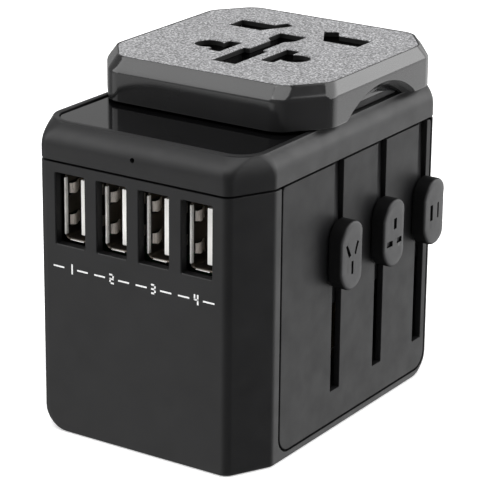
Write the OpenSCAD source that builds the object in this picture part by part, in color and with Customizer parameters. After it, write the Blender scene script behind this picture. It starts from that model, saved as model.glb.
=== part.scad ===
// Universal travel adapter: USB charger base with three pin sliders and a
// lift-off socket head. +Z is up, the USB ports face -Y, the sliders are on +X.
// The origin is the centre of the footprint, on the surface it stands on.

/* [Base] */
// width of the base across the USB face
body_w = 51; // [46:0.5:56]
// depth of the base, front to back
body_d = 72; // [66:0.5:78]
// height of the seam between the two casings
seam_z = 54.3; // [48:0.1:60]
// height of the upper casing's rim
rim_z = 61.1; // [56:0.1:68]
// wall of the casings
wall = 1.9; // [1.5:0.1:3]
// radius of the two large lower corners
corner_r = 4.5; // [3:0.1:6]

/* [Front chamfers] */
// chamfer of the front corners along X
cham_x = 4.6; // [3:0.1:8]
// chamfer of the front corners along Y
cham_y = 8.8; // [4:0.1:12]
// chamfer of the rear corners
cham_r = 5.5; // [3:0.1:9]

/* [USB ports] */
// spacing of the ports
usb_pitch = 9.5; // [9:0.1:11]
// width of a port's pocket
pocket_w = 6.7; // [6.4:0.1:7.4]
// height of a port's pocket
pocket_h = 14; // [13.6:0.1:15]
// height of the pockets' centre
pocket_z = 45.2; // [40:0.1:50]
// depth of the shells behind the front face
usb_recess = 2; // [1:0.1:3]
// outer width of a port's steel shell
shell_w = 5.74; // [5.4:0.02:6]
// outer height of a port's steel shell
shell_h = 13.2; // [12.8:0.1:13.6]

/* [Side panel and slots] */
// thickness of the side panel
panel_t = 1.2; // [1:0.1:2]
// front edge of the side panel
panel_y0 = -25.2; // [-28:0.1:-20]
// rear edge of the side panel
panel_y1 = 29.9; // [26:0.1:32]
// lower edge of the side panel
panel_z0 = 1.5; // [1:0.1:4]
// first slot's centre
slot_y0 = -5.3; // [-10:0.1:0]
// spacing of the slots
slot_pitch = 15.8; // [13:0.1:17]
// width of the slots
slot_w = 3.2; // [2.8:0.1:4]
// lower end of the slots
slot_z0 = 8.3; // [6:0.1:12]

/* [Sliders] */
// how far a slider travels down
travel = 20; // [15:0.5:22]
// height of the knobs' centre with the pins drawn in
knob_z = 36.3; // [32:0.1:40]
// width of a knob
knob_w = 7.8; // [6:0.1:9]
// height of a knob
knob_h = 13.7; // [11:0.1:16]
// how far a knob stands out of the panel
knob_out = 3.5; // [2.5:0.1:5]

/* [Pins] */
// spacing of the Australian blades
aus_gap = 13.7; // [13.5:0.1:14]
// lean of the Australian blades
aus_tilt = 30; // [25:1:35]
// spacing of the British pins
uk_gap = 22.2; // [22:0.1:22.6]
// distance of the British earth pin from the other two
uk_earth = 22.2; // [22:0.1:22.6]
// spacing of the American blades
us_gap = 12.7; // [12.5:0.1:13]
// spacing of the European pins
eu_gap = 19; // [17.5:0.1:19]
// diameter of the European pins
eu_d = 4; // [4:0.1:4.8]
// free length of the European pins
eu_len = 19; // [18:0.1:19.5]

/* [Head] */
// width of the head
head_w = 51.6; // [46:0.1:54]
// front wall of the head
head_y0 = -17; // [-22:0.1:-12]
// rear wall of the head
head_y1 = 35.8; // [30:0.1:38]
// chamfer of the head's corners along X
head_cham_x = 6.6; // [5:0.1:12]
// chamfer of the head's corners along Y
head_cham_y = 8.5; // [6:0.1:12]
// rounding of the head's corners
head_r = 4.6; // [1:0.1:6]
// gap between the base's rim and the head
head_gap = 0.2; // [0.1:0.1:1]
// height of the head's vertical walls
head_wall_h = 6.3; // [5:0.1:8]
// height of the head's sloping edge
head_bevel_h = 2.1; // [1:0.1:4]
// width of the sloping edge in front
head_bevel_f = 2.4; // [1:0.1:4]
// width of the sloping edge at the sides
head_bevel_s = 1.2; // [1:0.1:4]
// width of the sloping edge along the chamfers
head_bevel_c = 1.8; // [1:0.1:4]
// width of the finger notches
notch_w = 27.2; // [20:0.1:30]
// height of the finger notches
notch_h = 4.7; // [3:0.1:5.5]
// depth of the finger notches
notch_d = 1.6; // [1:0.1:3]

/* [View] */
// piece to show

/* [Hidden] */

e = 0.01;
hw = body_w / 2;
hd = body_d / 2;
rim_side = 2;
rim_front = 3.4;
rim_lip = 1.2;
plate_z = rim_z - 0.3;
panel_gap = 0.25;
slot_ys = [slot_y0, slot_y0 + slot_pitch, slot_y0 + 2 * slot_pitch];
strip_x = hw - panel_t - 0.2;
strip_t = 0.7;
strip_w = 4;
rib_w = 2.6;
head_z0 = rim_z + head_gap;
head_z1 = head_z0 + head_wall_h;
head_z2 = head_z1 + head_bevel_h;
head_cy = (head_y0 + head_y1) / 2;
face_t = 1.2;
aus_y = -9;
uk_y = 1;
us_y = 25.6;
pin_top = 23.6;
block_t = 6;
dark = [0.13, 0.13, 0.14];
gloss = [0.06, 0.06, 0.07];
grey = [0.62, 0.62, 0.63];
steel = [0.78, 0.78, 0.80];
brass = [0.85, 0.68, 0.35];
white = [0.92, 0.92, 0.90];

// ---- outlines ----------------------------------------------------------

// footprint of the casings, drawn in by f at the front, s at the sides and r behind
module plan(f = 0, s = 0, r = 0, soft = 2.2) {
    offset(r = soft, $fn = 40) offset(delta = -soft) polygon([
        [-hw + cham_x, -hd + f], [hw - cham_x, -hd + f],
        [hw - s, -hd + cham_y + f * 0.2], [hw - s, hd - cham_r - r * 0.4],
        [hw - cham_r - s * 0.4, hd - r], [-hw + cham_r + s * 0.4, hd - r],
        [-hw + s, hd - cham_r - r * 0.4], [-hw + s, -hd + cham_y + f * 0.2]]);
}

module slice(z, f = 0, s = 0, r = 0, t = e) {
    translate([0, 0, z]) linear_extrude(t) plan(f, s, r);
}

// outer form of the upper casing, its top edge rolled over
module upper_form() {
    k = rim_z - seam_z;
    hull() {
        slice(seam_z, 0, 0, 0);
        slice(seam_z + k * 0.42, 0.18, 0.1, 0.18);
        slice(seam_z + k * 0.66, 0.75, 0.42, 0.75);
        slice(seam_z + k * 0.84, 1.65, 0.95, 1.65);
        slice(seam_z + k * 0.95, 2.6, 1.5, 2.6);
        slice(rim_z - e, rim_front, rim_side, rim_front);
    }
}

// wedge that rounds off a lower corner whose chamfer faces angle a
module corner_cut(p, a) {
    translate([p[0], p[1], 0]) rotate([0, 0, a]) difference() {
        translate([-corner_r, -20, -1]) cube([corner_r + 4, 40, corner_r + 1]);
        translate([0.04 - corner_r, -21, corner_r - 0.04]) rotate([-90, 0, 0])
            cylinder(h = 42, r = corner_r, $fn = 64);
    }
}

// upright outline with round ends, lying in YZ
module stadium(w, h) {
    translate([0, h / 2 - w / 2]) circle(d = w, $fn = 48);
    translate([0, -h / 2 + w / 2]) circle(d = w, $fn = 48);
    square([w, h - w], center = true);
}

// extrudes a YZ outline along +X from x0
module along_x(x0, l) {
    translate([x0, 0, 0]) rotate([90, 0, 90]) linear_extrude(l) children();
}

// extrudes an XZ outline along +Y from y0
module along_y(y0, l) {
    translate([0, y0 + l, 0]) rotate([90, 0, 0]) linear_extrude(l) children();
}

module box3(x0, x1, y0, y1, z0, z1) {
    translate([x0, y0, z0]) cube([x1 - x0, y1 - y0, z1 - z0]);
}

function usb_x(i) = (i - 2.5) * usb_pitch;

// ---- casings -----------------------------------------------------------

// side panel's outline with round lower corners, g smaller all round and up to height top
module panel_outline(g, top) {
    r = 3.6 - g;
    for (y = [panel_y0 + 3.6, panel_y1 - 3.6]) translate([y, panel_z0 + 3.6]) circle(r = r, $fn = 48);
    translate([panel_y0 + 3.6, panel_z0 + g]) square([panel_y1 - panel_y0 - 7.2, 8]);
    translate([panel_y0 + g, panel_z0 + 3.6])
        square([panel_y1 - panel_y0 - 2 * g, top - panel_z0 - 3.6]);
}

module lower_casing() {
    color(dark) difference() {
        linear_extrude(seam_z) plan();
        corner_cut([-hw + cham_x, -hd], 180 + 27.6);
        corner_cut([hw, hd - cham_r], 45);
        // cavity
        translate([0, 0, wall]) linear_extrude(seam_z) offset(delta = -wall) plan();
        // recess of the side panel and the window behind it
        along_x(hw - panel_t - e, 5) panel_outline(0, seam_z + 1);
        box3(hw - 6, hw, panel_y0 + 1.2, panel_y1 - 1.2, panel_z0 + 3.4, seam_z + 1);
        // ports
        for (i = [1:4]) translate([usb_x(i), -hd - 1, pocket_z])
            translate([-pocket_w / 2, 0, -pocket_h / 2]) cube([pocket_w, 5, pocket_h]);
        // bottom opening that takes the pin plate
        box3(-18, 18, -16.5, 31.5, -1, wall + 1);
        // screw holes
        for (x = [-16, 16]) translate([x, -24, -1]) cylinder(h = 5, d = 2.9, $fn = 32);
    }
}

module pin_plate() {
    color(dark) difference() {
        union() {
            box3(-17.9, 17.9, -16.4, 31.4, 0, wall);
            box3(-19.6, 19.6, -18.1, 32.8, wall, wall + 1.2);
        }
        aus_pair(2.3, 7.1, -1, 6);
        for (x = [-1, 1]) translate([x * uk_gap / 2, uk_y, 2]) cube([7.1, 4.7, 8], center = true);
        translate([0, uk_y + uk_earth, 2]) cube([4.7, 8.7, 8], center = true);
        for (x = [-1, 1]) translate([x * us_gap / 2, us_y, 2]) cube([2.2, 7.1, 8], center = true);
    }
}

module upper_casing() {
    color(dark) difference() {
        upper_form();
        // hollow, open below
        translate([0, 0, seam_z - 1]) linear_extrude(rim_z - seam_z - 2.4)
            offset(delta = -rim_front - 0.6) plan();
        // recess of the top plate
        translate([0, 0, rim_z - 1.6]) linear_extrude(4)
            offset(delta = -rim_lip) plan(rim_front, rim_side, rim_front);
        // window under the top plate
        translate([0, 0, seam_z]) linear_extrude(10)
            offset(delta = -rim_lip - 2.4) plan(rim_front, rim_side, rim_front);
        // indicator hole and the pocket of its lens
        box3(-1.6, 1.6, -32.2, -28, seam_z - 1, seam_z + 4.9);
        translate([0, -hd - 1, seam_z + 3.3]) rotate([-90, 0, 0]) cylinder(h = 8, d = 1, $fn = 24);
    }
}

module top_plate() {
    color(gloss) difference() {
        translate([0, 0, rim_z - 1.6]) linear_extrude(1.3)
            offset(delta = -rim_lip - 0.1) plan(rim_front, rim_side, rim_front);
        for (x = [-1, 1]) translate([x * eu_gap / 2, head_cy, rim_z - 3])
            cylinder(h = 6, d = eu_d + 1.2, $fn = 40);
    }
}

module side_panel() {
    color(dark) difference() {
        along_x(hw - panel_t, panel_t) panel_outline(panel_gap, seam_z - panel_gap);
        for (y = slot_ys) box3(hw - 3, hw + 1, y - slot_w / 2, y + slot_w / 2, slot_z0, seam_z + 1);
    }
}

// frame inside the base: a deck over the carriages, with posts down to the floor
module inner_frame() {
    color(dark) difference() {
        union() {
            box3(-21.5, 19, -16, 31.5, 51.6, 53.2);
            for (p = [[-21.4, -15.9], [-21.4, 29.4], [17, 29.4], [17, -15.9]])
                translate([p[0], p[1], wall + 1.2]) cube([2, 2, 48.6]);
            box3(-21.5, -20, -16, 31.5, 30, 51.7);
            // partition between the charger and the carriages
            box3(-21.5, 19, -16, -14.8, wall + 1.2, 51.7);
        }
        for (x = [-1, 1]) translate([x * eu_gap / 2, head_cy, 50]) cylinder(h = 6, d = 7, $fn = 40);
    }
}

// ---- charger -----------------------------------------------------------

module usb_shell(i) {
    t = 0.35;
    y0 = -hd + usb_recess;
    color(steel) translate([usb_x(i), 0, pocket_z]) {
        difference() {
            along_y(y0, 14) offset(r = 0.9, $fn = 32)
                square([shell_w - 1.8, shell_h - 1.8], center = true);
            along_y(y0 - 1, 14) offset(r = 0.55, $fn = 32)
                square([shell_w - 2 * t - 1.1, shell_h - 2 * t - 1.1], center = true);
            for (z = [-3.1, 3.1]) box3(-4, 4, y0 + 1.6, y0 + 7.4, z - 1.35, z + 1.35);
        }
        // leaf springs in the side windows, bent inwards
        for (z = [-3.1, 3.1], s = [-1, 1]) translate([s * 2.6, y0 + 7.3, z])
            rotate([0, 0, -s * 4.5]) box3(-0.15, 0.15, -5, 0.3, -1.1, 1.1);
    }
}

module usb_tongue(i) {
    color(white) translate([usb_x(i), 0, pocket_z]) {
        box3(0.3, 1.9, -hd + usb_recess + 0.9, -hd + usb_recess + 12, -5.55, 5.55);
        box3(-2.2, 2.2, -hd + usb_recess + 11, -hd + usb_recess + 12.9, -6, 6);
    }
}

module usb_contacts() {
    color(brass) for (i = [1:4], k = [-1.5, -0.5, 0.5, 1.5])
        translate([usb_x(i), 0, pocket_z + k * 2.5])
            box3(0.1, 0.3, -hd + usb_recess + 2, -hd + usb_recess + 9.5, -0.5, 0.5);
}

module usb_board() {
    color([0.05, 0.25, 0.12]) box3(-21, 21, -20, -18.4, 4, 53);
}

module transformer() {
    color([0.75, 0.65, 0.25]) {
        box3(-16, 2, -33, -20, 6, 10);
        box3(-16, 2, -33, -20, 22, 26);
        box3(-14, 0, -31.5, -21, 10, 22);
    }
}

module capacitor(x, z, d, l) {
    color([0.12, 0.14, 0.3]) translate([x, -20 - l, z]) rotate([-90, 0, 0])
        cylinder(h = l, d = d, $fn = 48);
}

module choke() {
    color([0.25, 0.15, 0.1]) translate([15.5, -25.5, 30.5]) rotate([90, 0, 0]) difference() {
        cylinder(h = 5, d = 9, center = true, $fn = 48);
        cylinder(h = 6, d = 4, center = true, $fn = 32);
    }
    color([0.25, 0.15, 0.1]) box3(13, 18, -23.2, -20, 28, 33);
}

module control_chip() {
    color([0.08, 0.08, 0.08]) box3(-4, 2, -21.6, -20, 29, 34);
}

module indicator_led() {
    color(white) {
        translate([0, -31.9, seam_z + 3.3]) rotate([-90, 0, 0]) cylinder(h = 3, d = 1.8, $fn = 32);
        box3(-1.2, 1.2, -29.3, -28.3, seam_z + 2.1, seam_z + 4.5);
        for (x = [-0.8, 0.8]) {
            box3(x - 0.2, x + 0.2, -28.6, -19.6, seam_z + 2.9, seam_z + 3.3);
            box3(x - 0.2, x + 0.2, -20, -19.6, 53, seam_z + 3);
        }
    }
}

// ---- mains parts in the base -------------------------------------------

// spring sleeve below the top plate that takes one round pin
module sleeve(x) {
    color(brass) translate([x, head_cy, 40.5]) difference() {
        cylinder(h = 17.5, d = 5.6, $fn = 48);
        translate([0, 0, 1]) cylinder(h = 20, d = 4.1, $fn = 48);
    }
}

module live_busbar() {
    color(brass) {
        box3(eu_gap / 2 - 2, eu_gap / 2 + 2, head_cy - 2, 31, 39.7, 40.5);
        box3(eu_gap / 2 - 2, eu_gap / 2 + 2, 30.2, 31, 32, 40.5);
    }
}

module neutral_busbar() {
    color(brass) {
        box3(-eu_gap / 2 - 2, -eu_gap / 2 + 2, head_cy - 2, 31, 39.7, 40.5);
        box3(-eu_gap / 2 - 2, -eu_gap / 2 + 2, 30.2, 31, 32, 40.5);
    }
}

module fuse() {
    color(white) translate([-15, 2, 48]) rotate([-90, 0, 0]) cylinder(h = 13, d = 4.6, $fn = 40);
    color(steel) translate([-15, -1, 48]) rotate([-90, 0, 0]) {
        cylinder(h = 3, d = 5, $fn = 40);
        translate([0, 0, 16]) cylinder(h = 3, d = 5, $fn = 40);
    }
}

module fuse_clips() {
    color(brass) for (y = [-0.7, 15.7]) difference() {
        box3(-18.2, -11.8, y, y + 2.4, 46, 51.6);
        translate([-15, y - 1, 48]) rotate([-90, 0, 0]) cylinder(h = 5, d = 5, $fn = 40);
        box3(-17.2, -12.8, y - 1, y + 4, 44, 48);
    }
}

module casing_screws() {
    color(steel) for (x = [-16, 16]) translate([x, -24, 0.3]) difference() {
        union() {
            cylinder(h = 1.5, d = 2.7, $fn = 32);
            cylinder(h = 5.4, d = 2.2, $fn = 32);
        }
        translate([0, 0, -0.1]) cylinder(h = 0.7, d = 1.3, $fn = 6);
    }
}

// ---- sliders -----------------------------------------------------------

// knob with a neck through slot number i; mark is the engraved pin pattern
module knob(i) {
    y = slot_ys[i];
    x0 = hw + 0.3;
    color(dark) difference() {
        union() {
            along_x(x0, knob_out - 0.65) translate([y, knob_z]) stadium(knob_w, knob_h);
            along_x(x0 + 1, knob_out - 1.3) translate([y, knob_z])
                stadium(knob_w - 0.7, knob_h - 0.7);
            box3(strip_x - e, x0 + 1, y - 1.3, y + 1.3, knob_z - 5.2, knob_z + 5.2);
        }
        translate([hw + knob_out + 0.7, y, knob_z]) children();
    }
}

// strip behind the panel with the rib that fills the slot above the knob,
// and the plate behind them that carries one slider's block
module strip(i) {
    y = slot_ys[i];
    box3(strip_x - strip_t, strip_x, y - strip_w / 2, y + strip_w / 2, 25.4, 53.9);
    box3(strip_x - 3, strip_x - strip_t + e, y - strip_w / 2, y + strip_w / 2, 25.4, 44);
    translate([0, y + rib_w / 2, 0]) rotate([90, 0, 0]) linear_extrude(rib_w) polygon([
        [strip_x - e, knob_z + 5.2], [hw - 0.8, knob_z + 5.2],
        [hw - 1.15, 53.7], [strip_x - e, 53.7]]);
}

module bar_mark(w, h, a, y, z) {
    translate([0, y, z]) rotate([a, 0, 0]) cube([2, w, h], center = true);
}

module aus_pair(w, l, z0, z1) {
    for (s = [-1, 1]) translate([s * aus_gap / 2, aus_y, 0]) rotate([0, 0, s * aus_tilt])
        translate([-w / 2, -l / 2, z0]) cube([w, l, z1 - z0]);
}

module aus_blade(s) {
    color(brass) translate([s * aus_gap / 2, aus_y, 0]) rotate([0, 0, s * aus_tilt]) {
        translate([-0.8, -3.15, 3.8]) cube([1.6, 6.3, pin_top + 2 - 3.8]);
        translate([-0.8, -2.35, 3]) cube([1.6, 4.7, 0.81]);
    }
}

module aus_knob() {
    knob(0) {
        bar_mark(0.7, 2.6, 25, -1.5, 1.2);
        bar_mark(0.7, 2.6, -25, 1.5, 1.2);
        bar_mark(0.7, 2.6, 0, 0, -2.4);
    }
}

module aus_carriage() {
    color(dark) difference() {
        union() {
            strip(0);
            box3(-10.5, 20.4, aus_y - 3.6, aus_y + 3.6, pin_top, pin_top + block_t);
            box3(15, strip_x - 0.8, aus_y - 3.6, slot_ys[0] + 2, pin_top + 2, pin_top + block_t);
        }
        aus_pair(1.6, 6.3, pin_top - 1, pin_top + 2);
    }
}

module uk_knob() {
    knob(1) {
        bar_mark(1.1, 2.2, 0, 0, 1.9);
        bar_mark(2, 1.1, 0, -1.8, -1.9);
        bar_mark(2, 1.1, 0, 1.8, -1.9);
    }
}

module uk_pin(s) {
    color(brass) translate([s * uk_gap / 2, uk_y, 0]) {
        translate([-3.175, -2, 3.4]) cube([6.35, 4, pin_top + 2 - 3.4]);
        translate([-2.5, -1.4, 2.3]) cube([5, 2.8, 1.11]);
    }
}

module uk_earth_pin() {
    color(dark) translate([0, uk_y + uk_earth, 0]) {
        translate([-2, -4, 3.4]) cube([4, 8, pin_top - 3.4]);
        translate([-1.4, -3.4, 2.3]) cube([2.8, 6.8, 1.11]);
    }
}

module uk_carriage() {
    color(dark) difference() {
        union() {
            strip(1);
            box3(-15, 15, uk_y - 2.6, uk_y + 3.2, pin_top, pin_top + block_t);
            box3(9, strip_x - 0.8, uk_y - 2.6, slot_ys[1] + 2, pin_top + 2, pin_top + block_t);
            box3(-2.8, 2.8, uk_y + 3, uk_y + uk_earth + 4, pin_top, pin_top + block_t);
        }
        for (s = [-1, 1]) translate([s * uk_gap / 2 - 3.175, uk_y - 2, pin_top - 1]) cube([6.35, 4, 3]);
    }
}

module us_knob() {
    knob(2) {
        bar_mark(0.8, 3.2, 0, -1.3, 0);
        bar_mark(0.8, 3.2, 0, 1.3, 0);
    }
}

module us_blade(s) {
    color(brass) translate([s * us_gap / 2, us_y, 0]) {
        translate([-0.75, -3.175, 3.6]) cube([1.5, 6.35, pin_top + 2 - 3.6]);
        translate([-0.75, -2.4, 3]) cube([1.5, 4.8, 0.61]);
    }
}

module us_carriage() {
    color(dark) difference() {
        union() {
            strip(2);
            box3(4.6, strip_x - 0.8, us_y - 3.6, us_y + 3.4, pin_top, pin_top + block_t);
            box3(-8.6, -4.6, us_y - 3.6, us_y + 6, pin_top, pin_top + block_t);
            box3(-8.6, 8.6, us_y + 3.1, us_y + 6, pin_top, pin_top + block_t);
        }
        for (s = [-1, 1]) translate([s * us_gap / 2 - 0.75, us_y - 3.175, pin_top - 1])
            cube([1.5, 6.35, 3]);
    }
}

// ---- head --------------------------------------------------------------

// points of an arc from angle a0 to a1 in n steps
function arc(x, y, r, a0, a1, n) =
    [for (k = [0:n]) let (a = a0 + (a1 - a0) * k / n) [x + r * cos(a), y + r * sin(a)]];

// right half of the head's outline, drawn in by f in front and behind, s at
// the side and c along the chamfer, so that its edges stay parallel
function head_half(f, s, c) = let (
        w = head_w / 2, l = norm([head_cham_x, head_cham_y]),
        turn = atan2(head_cham_y, head_cham_x), r = head_r,
        x1 = w - head_cham_x + (head_cham_x * f - c * l) / head_cham_y,
        y2 = head_y0 + head_cham_y + (c * l - head_cham_y * s) / head_cham_x,
        front = concat(
            arc(x1 - r * tan(turn / 2), head_y0 + f + r, r, -90, turn - 90, 4),
            arc(w - s - r, y2 + r * tan(45 - turn / 2), r, turn - 90, 0, 3)),
        n = len(front) - 1)
    concat(front, [for (k = [n:-1:0]) [front[k][0], 2 * head_cy - front[k][1]]]);

function head_outline(f = 0, s = 0, c = 0) = let (half = head_half(f, s, c), n = len(half) - 1)
    concat(half, [for (k = [n:-1:0]) [-half[k][0], half[k][1]]]);

module head_plan(f = 0, s = 0, c = 0) {
    polygon(head_outline(f, s, c));
}

// outer form of the head: upright walls with a sloping edge on top
module head_form() {
    low = head_outline();
    top = head_outline(head_bevel_f, head_bevel_s, head_bevel_c);
    n = len(low);
    polyhedron(
        concat([for (p = low) [p[0], p[1], head_z0]], [for (p = low) [p[0], p[1], head_z1]],
            [for (p = top) [p[0], p[1], head_z2]]),
        concat([[for (k = [0:n - 1]) k]], [[for (k = [n - 1:-1:0]) 2 * n + k]],
            [for (r = [0, n], k = [0:n - 1]) [r + k, r + n + k, r + n + (k + 1) % n]],
            [for (r = [0, n], k = [0:n - 1]) [r + k, r + n + (k + 1) % n, r + (k + 1) % n]]));
}

// openings of the universal socket, g wider all round
module socket_cuts(z0, z1, g = 0) {
    translate([0, 0, z0]) linear_extrude(z1 - z0) offset(delta = g) {
        // British pins with the leaning Australian slots
        for (s = [-1, 1]) {
            translate([s * 11.2 - 4, 17.7]) square([8, 5.6]);
            translate([s * 6.75, 21.7]) rotate([0, 0, s * 30]) translate([-1.5, -4]) square([3, 8]);
        }
        // American earth pin
        translate([0, 15.2]) circle(d = 6.3, $fn = 40);
        translate([-3.15, 15.2]) square([6.3, 3.4]);
        // British earth pin, with the Australian one above it
        translate([-2.8, -6.6]) square([5.6, 11.7]);
        translate([-1.55, 4.9]) square([3.1, 8]);
        // American blades with the European pins
        translate([-8, -0.6]) square([3.2, 8.3]);
        translate([4.8, -1.5]) square([3.2, 10.1]);
        for (s = [-1, 1]) translate([s * 9.9, 3.55]) circle(d = 5.8, $fn = 40);
    }
}

module head_shell() {
    color(gloss) difference() {
        head_form();
        // hollow, open below
        translate([0, 0, head_z0 - 1]) linear_extrude(1 + head_wall_h + head_bevel_h - face_t - 1.6)
            offset(delta = -1.8) head_plan(head_bevel_f, head_bevel_s, head_bevel_c);
        // seat of the speckled face plate
        translate([0, 0, head_z2 - face_t]) linear_extrude(face_t + 1)
            offset(delta = -0.35) head_plan(head_bevel_f, head_bevel_s, head_bevel_c);
        socket_cuts(head_z0 + 1, head_z2 + 1, 0.4);
        // finger notches
        notch_form();
        mirror([1, 0, 0]) notch_form();
    }
}

// finger notch in the +X wall, its arched edge bevelled
module notch_form() {
    r = (notch_w * notch_w / 4 + notch_h * notch_h) / (2 * notch_h);
    translate([head_w / 2 - notch_d, head_cy, head_z0 + notch_h - r]) rotate([0, 90, 0])
        cylinder(h = notch_d * 1.5, r1 = r - notch_d * 0.9, r2 = r + notch_d * 0.45, $fn = 96);
}

module socket_face() {
    color(grey) difference() {
        translate([0, 0, head_z2 - face_t]) linear_extrude(face_t - 0.05)
            offset(delta = -0.4) head_plan(head_bevel_f, head_bevel_s, head_bevel_c);
        socket_cuts(head_z0, head_z2 + 1);
    }
}

module head_base() {
    color(dark) difference() {
        translate([0, 0, head_z0 + 0.1]) linear_extrude(1.1) offset(delta = -1.9)
            head_plan(head_bevel_f, head_bevel_s, head_bevel_c);
        for (x = [-1, 1]) translate([x * eu_gap / 2, head_cy, head_z0 - 1])
            cylinder(h = 4, d = eu_d, $fn = 48);
        for (p = [[-17, -8], [17, -8], [-17, 28], [17, 28]])
            translate([p[0], p[1], head_z0 - 1]) cylinder(h = 4, d = 2.4, $fn = 32);
    }
}

module eu_pin(s) {
    color(steel) translate([s * eu_gap / 2, head_cy, 0]) {
        translate([0, 0, head_z0 - eu_len + 1.2]) cylinder(h = eu_len + 1.6, d = eu_d, $fn = 48);
        translate([0, 0, head_z0 - eu_len]) cylinder(h = 1.2 + e, d1 = 2.4, d2 = eu_d, $fn = 48);
    }
}

// brass plate in the head, over the pin, open where the plugs' pins pass
module head_contact(s) {
    z = head_z0 + 2.8;
    color(brass) difference() {
        translate([s > 0 ? 3.8 : -19.4, -4, z]) cube([15.6, 30.6, 0.6]);
        socket_cuts(z - 1, z + 2, 0.1);
    }
}

module head_screws() {
    color(steel) for (p = [[-17, -8], [17, -8], [-17, 28], [17, 28]])
        translate([p[0], p[1], head_z0 + 0.1]) difference() {
            cylinder(h = 4, d = 2.2, $fn = 32);
            translate([0, 0, -0.1]) cylinder(h = 0.7, d = 1.2, $fn = 6);
        }
}

lower_casing();
upper_casing();
side_panel();
top_plate();
pin_plate();
inner_frame();
usb_shell(1);  // usb_shell_1
usb_shell(2);  // usb_shell_2
usb_shell(3);  // usb_shell_3
usb_shell(4);  // usb_shell_4
usb_tongue(1);  // usb_tongue_1
usb_tongue(2);  // usb_tongue_2
usb_tongue(3);  // usb_tongue_3
usb_tongue(4);  // usb_tongue_4
usb_contacts();
usb_board();
transformer();
capacitor(9.5, 13, 10, 12);  // capacitor_large
capacitor(9.5, 24, 7, 11);  // capacitor_small
choke();
control_chip();
indicator_led();
sleeve(eu_gap / 2);  // live_sleeve
sleeve(-eu_gap / 2);  // neutral_sleeve
live_busbar();
neutral_busbar();
fuse();
fuse_clips();
casing_screws();
aus_knob();
aus_carriage();
aus_blade(1);  // aus_blade_live
aus_blade(-1);  // aus_blade_neutral
uk_knob();
uk_carriage();
uk_pin(1);  // uk_pin_live
uk_pin(-1);  // uk_pin_neutral
uk_earth_pin();
us_knob();
us_carriage();
us_blade(1);  // us_blade_live
us_blade(-1);  // us_blade_neutral
head_shell();
socket_face();
head_base();
eu_pin(1);  // eu_pin_live
eu_pin(-1);  // eu_pin_neutral
head_contact(1);  // head_contact_live
head_contact(-1);  // head_contact_neutral
head_screws();
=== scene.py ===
"""Universal travel adapter: the looks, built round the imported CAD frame.

Shapes are worked out in millimetres and scaled to metres when a mesh is made.
"""
import math

import bmesh
import bpy
from mathutils import Matrix, Vector


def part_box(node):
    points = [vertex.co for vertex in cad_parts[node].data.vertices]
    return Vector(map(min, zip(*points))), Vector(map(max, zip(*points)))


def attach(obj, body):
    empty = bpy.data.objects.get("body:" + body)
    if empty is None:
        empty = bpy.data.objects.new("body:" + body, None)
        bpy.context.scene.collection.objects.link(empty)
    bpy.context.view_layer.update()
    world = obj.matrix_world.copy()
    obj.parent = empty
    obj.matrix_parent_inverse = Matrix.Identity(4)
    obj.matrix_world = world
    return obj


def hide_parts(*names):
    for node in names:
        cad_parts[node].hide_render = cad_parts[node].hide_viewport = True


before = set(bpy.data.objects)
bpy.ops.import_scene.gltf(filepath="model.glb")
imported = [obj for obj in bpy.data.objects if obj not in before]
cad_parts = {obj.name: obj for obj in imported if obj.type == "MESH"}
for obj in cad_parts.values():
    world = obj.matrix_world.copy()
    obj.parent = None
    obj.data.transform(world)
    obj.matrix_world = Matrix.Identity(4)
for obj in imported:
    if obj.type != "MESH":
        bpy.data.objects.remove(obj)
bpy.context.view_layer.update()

MM = 0.001


def mm_box(node):
    """Lowest and highest corner of a CAD node, in millimetres."""
    lo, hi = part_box(node)
    return [c / MM for c in lo], [c / MM for c in hi]


def middle(node):
    """Centre of a CAD node's box, in millimetres."""
    return [(a + b) / 2 for a, b in zip(*mm_box(node))]


# ---- sizes, in millimetres ----------------------------------------------

HALF_W, HALF_D, SEAM = mm_box("lower_casing")[1]
RIM = mm_box("upper_casing")[1][2]
PANEL_LO, PANEL_HI = mm_box("side_panel")
HEAD_LO, HEAD_HI = mm_box("head_shell")

# casings
WALL = 1.9
CHAMFER_X, CHAMFER_Y = 4.6, 8.8      # front corners
CHAMFER_REAR = 5.5                   # rear corners
PLAN_R = 2.2                         # rounding of the casings' upright edges
FOOT_R = 0.8                         # rounding along the bottom edge
CORNER_R = 4.5                       # the two large lower corners
SEAM_GAP = 0.17                      # half the height of the groove between the casings
SEAM_DEPTH = 0.9
SEAM_SOFT = ((0.2, 0.0), (0.06, 0.05), (0.0, 0.2))    # distance from the groove, draw-in
RIM_FRONT, RIM_SIDE = 3.4, 2.0       # how far the upper casing draws in at its rim
RIM_CHAMFER = 1.35                   # the same along its chamfers
RIM_R = 5.8                          # rounding of the rim's corners
RIM_LIP = 1.2                        # width of the rim round the top plate
LEDGE_W = 2.4                        # ledge under the top plate
LEDGE_Z0, LEDGE_Z1 = RIM - 3.2, RIM - 1.7
PLATE_DROP = 0.35                    # plate below the rim
PLATE_GAP = 0.16
PLATE_T = 1.2
SLEEVE_HOLE_R = 2.6                  # holes in the plate for the head's round pins
LED_RISE, LED_R = 3.3, 0.47          # hole of the indicator light, above the seam
PIN_WINDOW = (-18, 18, -16.5, 31.5)  # opening above the pin plate
SCREW_X, SCREW_Y, SCREW_HOLE_R = 16, -24, 1.45

# side panel
RECESS_GAP = 0.25                    # recess round the panel's CAD outline
PANEL_GAP = 0.4                      # panel inside its recess
PANEL_R, PANEL_TOP_R = 3.6, 0.9
SLOT_W = 3.2
SLOT_Z = 8.3

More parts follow.
